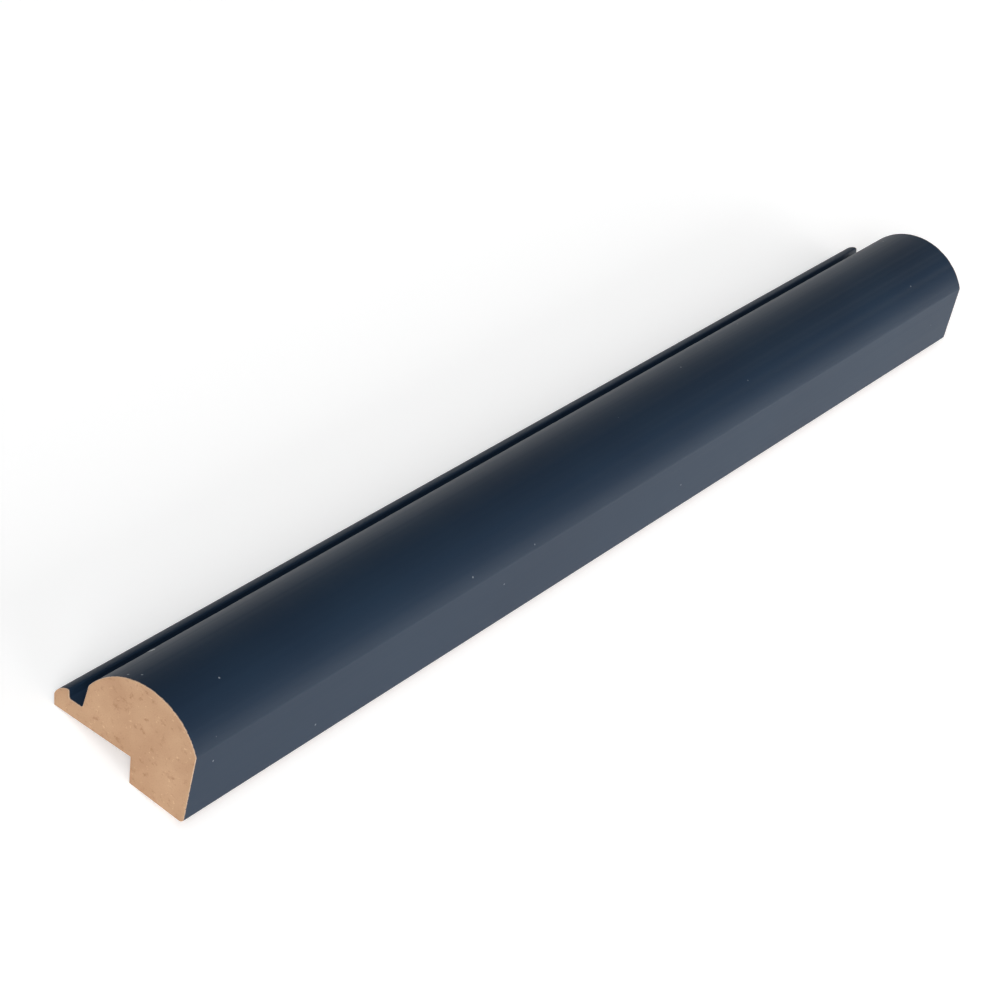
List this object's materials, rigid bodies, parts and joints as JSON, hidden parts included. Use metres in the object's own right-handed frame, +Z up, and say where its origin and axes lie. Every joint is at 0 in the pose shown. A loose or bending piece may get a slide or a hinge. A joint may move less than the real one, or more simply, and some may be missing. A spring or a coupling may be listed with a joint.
{
  "type": "wall panel end cap moulding",
  "caption": "Straight MDF trim with a domed rib, a grooved lip and a rebate underneath that goes over the edge of a wall panel to finish it.",
  "frame": {"origin": "middle of the length, on the floor under the middle of the part's box", "axes": "+X along the length, -Y towards the outer side of the rib, +Y towards the lip, +Z up; the part lies on the lip's lower edge and the heel of its foot, as it comes to rest"},
  "size_m": [0.3, 0.0342, 0.0214],
  "materials": {
    "navy_faced_mdf": "satin navy lacquer on the face, raw MDF on the sawn ends and the back"
  },
  "bodies": {
    "root": {"end_cap_moulding": "navy_faced_mdf"}
  },
  "joints": []
}
